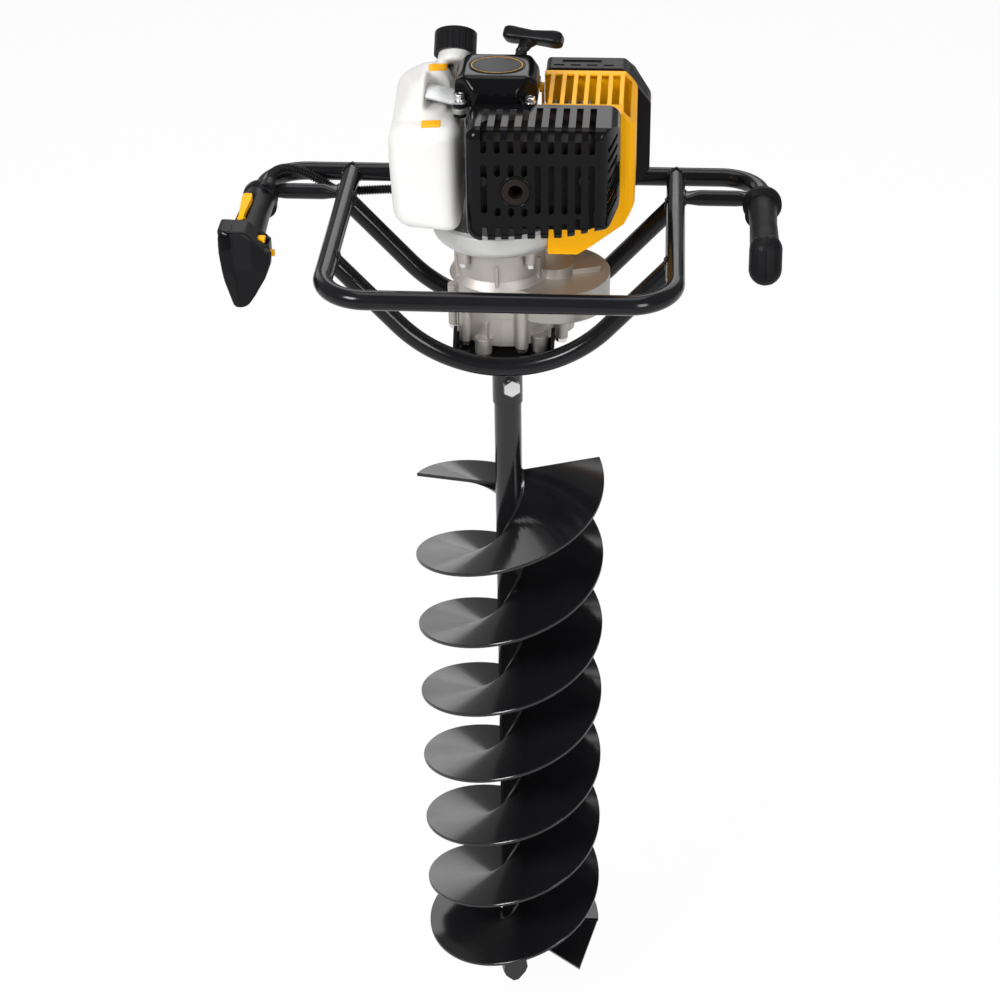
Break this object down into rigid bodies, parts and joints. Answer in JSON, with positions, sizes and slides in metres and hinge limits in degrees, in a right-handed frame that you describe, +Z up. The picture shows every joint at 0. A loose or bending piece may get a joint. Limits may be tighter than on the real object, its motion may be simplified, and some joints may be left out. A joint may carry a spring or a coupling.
{
  "type": "earth auger",
  "caption": "Petrol earth auger for one operator with a spiral drill bit, reduction gear case, two-stroke engine, recoil starter, fuel tank and a tube frame with throttle and plain handles",
  "frame": {"origin": "the lowest point of the drill bit, on the bit's axis", "axes": "+Z up along the bit's axis, +X to the right hand grip, -Y to the muffler"},
  "size_m": [0.5494, 0.298, 1.1986],
  "materials": {
    "frame_paint": "gloss",
    "bit_paint": "gloss",
    "cast": "cast",
    "fan_grey": "cast",
    "engine_metal": "cast",
    "bearing_steel": "ground",
    "gear_steel": "machined",
    "bolt_steel": "zinc plated",
    "dark_bolt": "blackened",
    "seal_rubber": "matt",
    "grip_rubber": "matt",
    "grip_plastic": "fine grain",
    "black_gloss": "gloss",
    "black_plastic": "satin",
    "yellow_plastic": "satin",
    "tank_white": "translucent",
    "guard_black": "gloss",
    "muffler_steel": "heat stained",
    "sheet_steel": "zinc plated",
    "ceramic": "glazed",
    "insulator": "moulded",
    "foam": "open foam",
    "primer_clear": "translucent",
    "pulley_plastic": "moulded"
  },
  "bodies": {
    "frame": {"handlebar": "frame_paint", "front_loop": "frame_paint", "front_cradle_tube": "frame_paint", "rear_cradle_tube": "frame_paint", "left_brace": "frame_paint", "right_brace": "frame_paint", "saddle": "frame_paint", "saddle_bolts": "dark_bolt", "lower_gear_case": "cast", "upper_gear_case": "cast", "gear_case_bolts": "bolt_steel", "output_seal": "seal_rubber", "gear_bearings": "bearing_steel", "fan_housing": "fan_grey", "crankcase": "engine_metal", "crank_bearings": "bearing_steel", "engine_cylinder": "engine_metal", "spark_plug": "ceramic", "spark_plug_cap": "seal_rubber", "ignition_coil": "black_plastic", "cylinder_shroud": "yellow_plastic", "muffler": "muffler_steel", "muffler_guard": "guard_black", "intake_insulator": "insulator", "carburettor": "engine_metal", "air_cleaner_base": "black_plastic", "air_filter": "foam", "air_cleaner_cover": "black_plastic", "starter_housing": "black_gloss", "starter_bolts": "bolt_steel", "fuel_tank": "tank_white", "tank_pads": "seal_rubber", "tank_bracket": "sheet_steel", "throttle_grip": "grip_plastic", "right_grip": "grip_rubber", "throttle_conduit": "black_plastic"},
    "bit": {"output_shaft": "gear_steel", "output_gear": "gear_steel", "auger_tube": "bit_paint", "auger_flight_a": "bit_paint", "auger_flight_b": "bit_paint", "cutter_blades": "bit_paint", "centre_point": "bit_paint", "coupling_bolt": "bolt_steel"},
    "idler": {"idler_gear": "gear_steel", "idler_shaft": "gear_steel"},
    "drum": {"clutch_drum": "gear_steel", "input_pinion": "gear_steel"},
    "crank": {"crankshaft": "gear_steel", "flywheel_fan": "engine_metal", "clutch_shoes": "dark_bolt"},
    "trigger": {"throttle_trigger": "black_plastic"},
    "lock": {"lockout_lever": "yellow_plastic"},
    "stop": {"stop_switch": "yellow_plastic"},
    "hold": {"hold_button": "yellow_plastic"},
    "cap": {"fuel_cap": "black_plastic"},
    "pull": {"pull_handle": "black_plastic"},
    "pulley": {"starter_pulley": "pulley_plastic"},
    "choke": {"choke_lever": "yellow_plastic"},
    "primer": {"primer_bulb": "primer_clear"}
  },
  "joints": [
    {"name": "bit_spin", "type": "hinge", "parent": "frame", "child": "bit", "pos_m": [0, 0, 0], "axis": [0, 0, 1], "continuous": true},
    {"name": "idler_spin", "type": "hinge", "parent": "frame", "child": "idler", "pos_m": [0.048, 0, 0.94], "axis": [0, 0, 1], "continuous": true},
    {"name": "drum_spin", "type": "hinge", "parent": "frame", "child": "drum", "pos_m": [-0.006, 0, 0.975], "axis": [0, 0, 1], "continuous": true},
    {"name": "crank_spin", "type": "hinge", "parent": "frame", "child": "crank", "pos_m": [-0.006, 0, 1.092], "axis": [0, 0, 1], "continuous": true},
    {"name": "throttle_pull", "type": "hinge", "parent": "frame", "child": "trigger", "pos_m": [-0.252, -0.036, 0.9885], "axis": [1, 0, 0], "range_deg": [0, 16], "stiffness_Nm_per_rad": 0.5, "springref_deg": -17.19},
    {"name": "lock_press", "type": "hinge", "parent": "frame", "child": "lock", "pos_m": [-0.258, -0.014, 1.022], "axis": [-1, 0, 0], "range_deg": [0, 3], "stiffness_Nm_per_rad": 0.4, "springref_deg": -11.46},
    {"name": "stop_slide", "type": "slide", "parent": "frame", "child": "stop", "axis": [1, 0, 0], "range_m": [0, 0.004]},
    {"name": "hold_press", "type": "slide", "parent": "frame", "child": "hold", "axis": [-1, 0, 0], "range_m": [0, 0.003], "stiffness_N_per_m": 400, "springref_m": -0.004},
    {"name": "cap_turn", "type": "hinge", "parent": "frame", "child": "cap", "pos_m": [-0.05, 0.05453, 1.17353], "axis": [0, 0.7071, 0.7071], "range_deg": [0, 360]},
    {"name": "starter_pull", "type": "slide", "parent": "frame", "child": "pull", "axis": [0, 0.7071, 0.7071], "range_m": [0, 0.5], "stiffness_N_per_m": 8, "springref_m": -0.4},
    {"name": "pulley_spin", "type": "hinge", "parent": "frame", "child": "pulley", "pos_m": [-0.006, 0, 1.163], "axis": [0, 0, 1], "range_deg": [0, 1260]},
    {"name": "choke_turn", "type": "hinge", "parent": "frame", "child": "choke", "pos_m": [0.036, 0.057, 1.106], "axis": [-1, 0, 0], "range_deg": [0, 60]},
    {"name": "primer_press", "type": "slide", "parent": "frame", "child": "primer", "axis": [0, 0, 1], "range_m": [0, 0.004], "stiffness_N_per_m": 600, "springref_m": -0.002}
  ],
  "couplings": [
    {"joint": "idler_spin", "follows": "bit_spin", "ratio": -4.3333},
    {"joint": "drum_spin", "follows": "bit_spin", "ratio": 26.867},
    {"joint": "pulley_spin", "follows": "starter_pull", "rad_per_m": 43.478}
  ]
}
